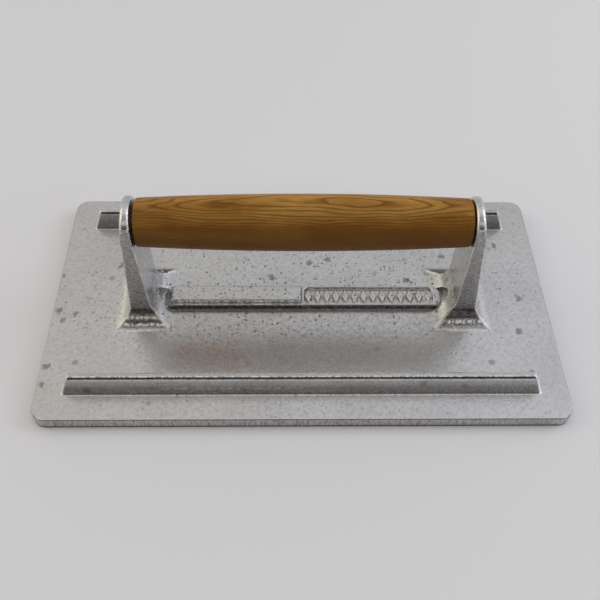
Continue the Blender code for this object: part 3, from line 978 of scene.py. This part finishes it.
def cast_aluminium():
    """Tumbled cast aluminium: satin, with pits, grey stains and dirt in the corners, painted shade
    and painted highlights.
    """
    s = Shader("cast_aluminium_surface")
    place = s.millimetres()
    wide = s.noise(place, 0.03, 3.0)
    mottle = s.noise(place, 0.45, 5.0, 0.65)
    fine = s.noise(place, 1.5, 4.0, 0.75)
    corners = s.window(s.painted("hollow"), 0.12, 0.7)
    painted_shade = s.painted("painted_shade")
    # worn: real wear at edges and on the pad's top, and painted sheen on the ribs' noses and the
    # flares' crests
    worn = s.window(s.painted("wear_and_sheen"), 0.10, 0.45)
    coarse = s.painted("coarse")
    ground = s.painted("ground")
    # bright carries the painted highlights, near-white and less metallic so they show from any side
    bright = s.painted("bright")
    pits = cast_pits(s, place, worn)
    spots = s.times(speckles(s, place, 0.12, 0.22, 0.10), 0.7)
    stains = s.math("MAXIMUM", ragged_stains(s, place, STAINS, 2.4), spots)
    smudge = s.times(ragged_stains(s, place, SMUDGES, 10.0), s.window(mottle, 0.38, 0.62))
    # slanting marks of the grinding wheel, on the plate's sides
    slanted = {"Vector": place, "Rotation": (0.0, 0.6, 0.0), "Scale": (3.6, 3.6, 0.30)}
    marks = s.noise(s.node("ShaderNodeMapping", slanted).outputs[0], 1.0, 3.0, 0.6)

    colour = s.blend(s.window(wide, 0.35, 0.65), SKIN_DULL, SKIN_CLEAN)
    colour = s.blend(s.window(mottle, 0.40, 0.70, 0.0, 0.60), colour, SKIN_MOTTLE)
    colour = s.blend(s.window(fine, 0.52, 0.72, 0.0, 0.50), colour, SKIN_GRAIN)
    colour = s.blend(s.times(smudge, 0.75), colour, SMUDGE_BROWN)
    colour = s.blend(s.times(stains, 0.9), colour, STAIN_GREY)
    streaks = s.noise(s.stretch(place, (0.5, 1.8, 1.8)), 1.0, 4.0, 0.65)
    # rough-cast scale; its dark colour on these places facing front or back is partly painted shade
    scale = s.blend(s.window(streaks, 0.40, 0.62), SCALE_DARK_AND_SHADE, SCALE_PALE)
    colour = s.blend(s.times(coarse, 0.8), colour, scale)
    # patches that break up both the corner dirt and the painted shade
    dirt = s.window(s.noise(place, 0.5, 3.0, 0.7), 0.35, 0.6, 0.5, 1.0)
    colour = s.blend(s.times(s.times(corners, dirt), 0.6), colour, CORNER_DIRT)
    # painted shade: near-black on the bar's front wall, the ribs' fronts and the flares' creases
    colour = s.blend(s.times(painted_shade, s.window(dirt, 0.5, 1.0, 0.75, 0.97)), colour, SHADE_DARK)
    colour = s.blend(s.times(worn, 0.5), colour, SKIN_WORN_SHEEN)
    colour = s.blend(s.times(pits, 0.85), colour, PIT_DARK)
    colour = s.blend(bright, colour, SKIN_GLINT)
    colour = s.blend(s.times(ground, 0.95), colour, ground_sides(s, place, marks))
    s.feed(s.surface.inputs["Base Color"], colour)

    bare = s.math("MAXIMUM", s.math("MAXIMUM", worn, coarse), painted_shade)
    metal = s.math("MULTIPLY_ADD", s.math("SUBTRACT", s.painted("level"), bare), -0.3, 1.0)
    s.feed(s.surface.inputs["Metallic"], s.math("MULTIPLY_ADD", bright, -0.8, metal))

    rough = s.window(mottle, 0.3, 0.7, 0.23, 0.31)
    changes = ((worn, -0.10), (coarse, -0.08), (corners, 0.10), (stains, 0.12), (pits, 0.25))
    for where, change in changes:
        rough = s.math("MULTIPLY_ADD", where, change, rough)
    s.feed(s.surface.inputs["Roughness"], rough)

    waves = s.bump(wide, 0.5, 0.6)
    grain = s.bump(fine, 0.30, 0.06, waves)
    lumps = s.bump(mottle, 0.62, 0.14, grain)
    hammered = s.noise(s.stretch(place, (0.55, 1.6, 1.6)), 1.0, 3.0, 0.6)
    lumps = s.bump(s.times(hammered, coarse), 0.9, 0.9, lumps)
    lumps = s.bump(s.times(marks, ground), 0.5, 0.25, lumps)
    s.feed(s.surface.inputs["Normal"], s.bump(s.math("SUBTRACT", 1.0, pits), 0.7, 0.12, lumps))
    return s.material


def grip_wood():
    """Flat-sawn golden hardwood under a worn satin lacquer. The growth rings lie round a
    centre far below the grip, so they show as long ovals on top and as lines below."""
    s = Shader("grip_wood_surface")
    place = s.millimetres()
    drift = s.noise(s.stretch(place, (0.022, 0.10, 0.10)), 1.0, 2.0)
    parts = s.node("ShaderNodeSeparateXYZ", {"Vector": place})
    along = parts.outputs[0]
    up_and_back = s.math("MULTIPLY_ADD", parts.outputs[1], 0.9, parts.outputs[2])
    y = s.math("ADD", parts.outputs[1], -PITH_Y)
    z = s.math("ADD", parts.outputs[2], -PITH_Z)
    pith = s.math("SQRT", s.math("ADD", s.times(y, y), s.times(z, z)))
    pith = s.math("MULTIPLY_ADD", along, 0.008, pith)
    pith = s.math("MULTIPLY_ADD", drift, 3.0, pith)
    ring = s.math("FRACT", s.math("DIVIDE", pith, RING_WIDTH))
    late = s.times(s.window(ring, 0.45, 0.88), s.window(ring, 0.90, 1.0, 1.0, 0.0))
    fibre = s.noise(s.stretch(place, (0.16, 4.6, 4.6)), 1.0, 5.0, 0.75)
    pores = s.noise(s.stretch(place, (0.30, 7.0, 7.0)), 1.0, 2.0)
    broad = s.noise(s.stretch(place, (0.03, 0.12, 0.12)), 1.0, 2.0)

    colour = s.blend(s.window(broad, 0.3, 0.7), WOOD_PALE, WOOD_DEEP)
    colour = s.blend(s.times(late, 0.75), colour, WOOD_LATE)
    colour = s.blend(s.window(fibre, 0.42, 0.70, 0.0, 0.7), colour, WOOD_FIBRE)
    colour = s.blend(s.window(pores, 0.62, 0.75, 0.0, 0.45), colour, WOOD_PORE)
    # painted shade: the wood is coloured darker to the front and below, where less light falls on
    # it
    used = s.window(up_and_back, -12.0, 15.5, 0.79, 0.0)
    colour = s.blend(used, colour, WOOD_SHADED)
    s.feed(s.surface.inputs["Base Color"], colour)
    s.feed(s.surface.inputs["Roughness"], s.window(fibre, 0.3, 0.7, 0.34, 0.46))
    s.surface.inputs["Specular IOR Level"].default_value = 0.14
    height = s.math("ADD", s.times(fibre, 0.6), s.times(pores, 0.5))
    s.feed(s.surface.inputs["Normal"], s.bump(height, 0.25, 0.05))
    return s.material


def rod_steel():
    """Plain drawn bar with a dull, slightly tarnished skin."""
    s = Shader("rod_steel_surface")
    place = s.millimetres()
    drawn = s.noise(s.stretch(place, (0.05, 3.0, 3.0)), 1.0, 3.0)
    mottle = s.noise(place, 0.9, 4.0, 0.6)
    colour = s.blend(s.window(mottle, 0.35, 0.7), STEEL_CLEAN, STEEL_TARNISHED)
    s.feed(s.surface.inputs["Base Color"], colour)
    s.surface.inputs["Metallic"].default_value = 1.0
    s.feed(s.surface.inputs["Roughness"], s.window(mottle, 0.3, 0.7, 0.30, 0.45))
    s.feed(s.surface.inputs["Normal"], s.bump(drawn, 0.2, 0.04, s.bump(mottle, 0.3, 0.08)))
    return s.material


def pale_floor():
    """Smooth matt board, very slightly violet."""
    s = Shader("pale_floor_surface")
    s.surface.inputs["Base Color"].default_value = FLOOR_COLOUR
    s.surface.inputs["Roughness"].default_value = 0.85
    return s.material


# ---------------------------------------------------------------- studio


def make_floor():
    """The table, wide enough that its far edge is never seen."""
    corners = [(x * FLOOR_HALF, y * FLOOR_HALF, 0.0) for x, y in FLOOR_CORNERS]
    floor = new_object("studio_floor", corners, [(0, 1, 2, 3)], pale_floor())


def make_world():
    """A soft room with a warm window on the left and a cool one on the right. Across
    its middle it is dark low in front, then has a bright strip, is dull higher up,
    light overhead and a little duller behind."""
    world = bpy.data.worlds.new("studio_room")
    bpy.context.scene.world = world
    world.use_nodes = True
    background = world.node_tree.nodes["Background"]
    s = Nodes(world.node_tree)
    direction = s.node("ShaderNodeTexCoord").outputs["Generated"]
    x, y, z = s.node("ShaderNodeSeparateXYZ", {"Vector": direction}).outputs
    up_from_front = s.math("ARCTAN2", z, s.times(y, -1.0))
    aside = s.math("ABSOLUTE", x)
    central = s.window(aside, 0.45, 0.75, 1.0, 0.0)

    room = s.blend(s.window(x, -0.38, 0.38), *ROOM)
    windows = s.blend(s.window(x, -0.1, 0.1), *WINDOWS)
    to_the_side = s.times(s.window(aside, 0.50, 0.85), s.window(y, -0.45, -0.15))
    room = s.blend(s.times(to_the_side, s.window(z, 0.05, 0.25)), room, windows)
    for angles, light in ROOM_BANDS:
        start, end, soft = (math.radians(angle) for angle in angles)
        rising = s.window(up_from_front, start - soft, start + soft)
        falling = s.window(up_from_front, end - soft, end + soft, 1.0, 0.0)
        room = s.blend(s.times(central, s.times(rising, falling)), room, light)
    s.feed(background.inputs["Color"], room)
    background.inputs["Strength"].default_value = 1.0


def add_softbox(name, place, power, colour):
    """A square soft light that shines on the middle of the table."""
    data = bpy.data.lights.new(name, "AREA")
    data.shape = "RECTANGLE"
    data.size = SOFTBOX_SIZE
    data.size_y = SOFTBOX_SIZE
    data.energy = power
    data.color = colour
    light = bpy.data.objects.new(name, data)
    light.location = place
    light.rotation_euler = (-Vector(place)).to_track_quat("-Z", "Y").to_euler()
    bpy.context.scene.collection.objects.link(light)


def make_camera():
    """Looks down at the plate from the front, a little from the left."""
    azimuth = math.radians(CAMERA_AZIMUTH)
    elevation = math.radians(CAMERA_ELEVATION)
    roll = math.radians(CAMERA_ROLL)
    ahead = Vector((
        math.sin(azimuth) * math.cos(elevation),
        math.cos(azimuth) * math.cos(elevation),
        -math.sin(elevation),
    ))
    data = bpy.data.cameras.new("camera")
    data.sensor_width = 36.0
    data.lens = CAMERA_LENS
    data.clip_start = 0.01
    camera = bpy.data.objects.new("camera", data)
    turn = ahead.to_track_quat("-Z", "Y").to_matrix() @ Euler((0.0, 0.0, roll)).to_matrix()
    camera.rotation_euler = turn.to_euler()
    camera.location = Vector(CAMERA_TARGET) - ahead * CAMERA_DISTANCE
    bpy.context.scene.collection.objects.link(camera)
    bpy.context.scene.camera = camera


def main():
    """Build the press and the studio round it."""
    bpy.context.scene.view_settings.view_transform = "Standard"
    make_camera()
    make_casting(cast_aluminium())
    make_grip(grip_wood())
    make_rod(rod_steel())
    make_floor()
    make_world()
    for softbox in SOFTBOXES:
        add_softbox(*softbox)


main()
